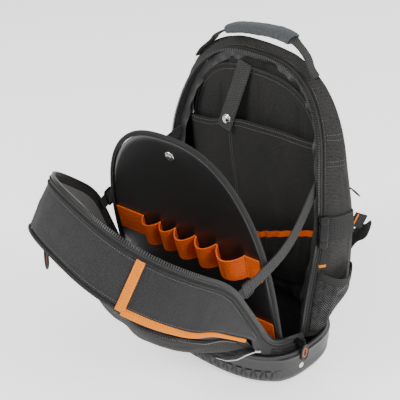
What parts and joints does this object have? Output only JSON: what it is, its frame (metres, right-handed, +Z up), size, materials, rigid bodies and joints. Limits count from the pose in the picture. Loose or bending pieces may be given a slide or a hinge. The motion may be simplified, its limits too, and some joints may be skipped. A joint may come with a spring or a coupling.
{
  "type": "tool backpack",
  "caption": "Tool backpack standing open on a moulded rubber base: padded cloth body, drop-down front flap, stiff inner tool board with elastic loops, inner pockets and carrying straps.",
  "frame": {"origin": "on the floor under the base, at the middle of the width of the bag, 13 mm behind the middle of its depth", "axes": "+Z up; -Y is the front, the side of the open flap; +Y is the back, the side of the carrying straps; +X is to the right of a person who faces the front of the bag"},
  "size_m": [0.3663, 0.4542, 0.4692],
  "materials": {
    "base_rubber": "smooth satin moulding with a tread band",
    "cloth_black": "coarse woven polyester",
    "cloth_grey": "smooth moulded fabric",
    "padding_black": "padded mesh fabric",
    "webbing_grey": "ribbed webbing",
    "webbing_orange": "ribbed webbing",
    "elastic_orange": "woven elastic",
    "board_black": "glossy sheet",
    "plastic_black": "moulded",
    "net_black": "net with light diagonal lines",
    "grip_grey": "padded grip cover",
    "snap_steel": "bright pressed cap",
    "rivet_white": "plain head"
  },
  "bodies": {
    "root": {"base_tub": "base_rubber", "body_wall": "cloth_black", "body_zip": "cloth_black", "inner_panel": "cloth_black", "big_pocket": "cloth_black", "low_pocket": "cloth_black", "flap_zip": "cloth_black", "front_pocket": "cloth_black", "flap_seam": "cloth_black", "board_binding": "cloth_black", "flap_gusset": "cloth_grey", "flap_panel": "cloth_grey", "back_panel": "padding_black", "shoulder_pad_right": "padding_black", "shoulder_pad_left": "padding_black", "closure_strap": "webbing_grey", "handle_webbing": "webbing_grey", "side_strap": "webbing_grey", "side_webbing": "webbing_grey", "side_tab": "webbing_grey", "stay_strap_right": "webbing_grey", "stay_strap_left": "webbing_grey", "shoulder_webbing_right": "webbing_grey", "shoulder_webbing_left": "webbing_grey", "strap_tail_high": "webbing_grey", "strap_tail_low": "webbing_grey", "flap_band": "webbing_orange", "flap_piping": "webbing_orange", "low_pocket_elastic": "elastic_orange", "tool_loops": "elastic_orange", "board_band": "elastic_orange", "divider_board": "board_black", "side_clasp": "plastic_black", "stay_slider_right": "plastic_black", "stay_slider_left": "plastic_black", "shoulder_slider_right": "plastic_black", "shoulder_slider_left": "plastic_black", "zip_slider_right": "plastic_black", "zip_slider_left": "plastic_black", "zip_pull_right": "plastic_black", "zip_pull_left": "plastic_black", "pocket_pull": "plastic_black", "mesh_pocket": "net_black", "mesh_hem": "net_black", "handle_grip": "grip_grey", "board_stud": "snap_steel", "closure_snap": "snap_steel", "base_rivet_right": "rivet_white", "base_rivet_left": "rivet_white"}
  },
  "joints": []
}
